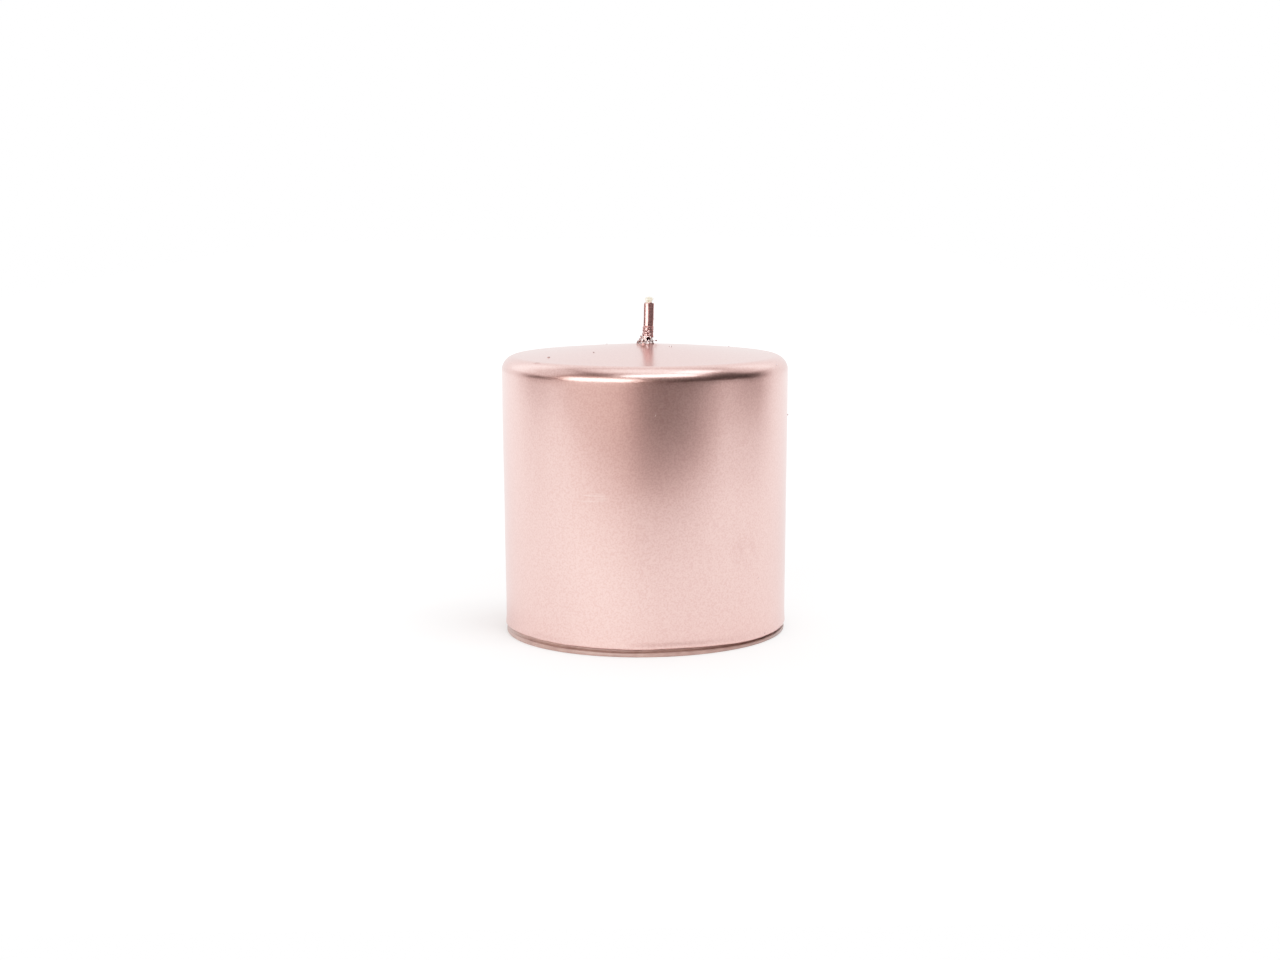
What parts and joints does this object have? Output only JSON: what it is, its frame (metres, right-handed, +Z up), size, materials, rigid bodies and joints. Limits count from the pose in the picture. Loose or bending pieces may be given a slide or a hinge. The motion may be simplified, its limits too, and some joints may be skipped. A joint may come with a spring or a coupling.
{
  "type": "pillar candle",
  "caption": "Squat round pillar candle in metallic rose-gold lacquer over dyed wax, with a domed top, a short stiff lacquered wick and a bare wax foot.",
  "frame": {"origin": "centre of the flat base, on the surface the candle stands on", "axes": "+Z up the candle's axis and wick, -Y the front, +X to the right of the front"},
  "size_m": [0.07, 0.07, 0.0817],
  "materials": {
    "core_wax": "pressed white paraffin, finely granular, dull",
    "dyed_wax": "rose-beige dyed wax, silky, slightly translucent",
    "lacquer": "rose-gold metallic lacquer with a fine flake, satin on the side and glossier on the top",
    "cotton": "braided cream cotton, waxed, bare and frayed at the tip",
    "wick_lacquer": "glossy rose-gold lacquer over wax, rippled",
    "bead_lacquer": "glossy rose-gold lacquer over crumbs of wax",
    "clip_steel": "tinned pressed steel",
    "seal_wax": "white wax set from a melt, smooth"
  },
  "bodies": {
    "root": {"wax_core": "core_wax", "overdip_skin": "dyed_wax", "lacquer_coat": "lacquer", "wick": "cotton", "wick_sleeve": "wick_lacquer", "wick_root_bead": "bead_lacquer", "wick_clip": "clip_steel", "base_seal": "seal_wax"}
  },
  "joints": []
}
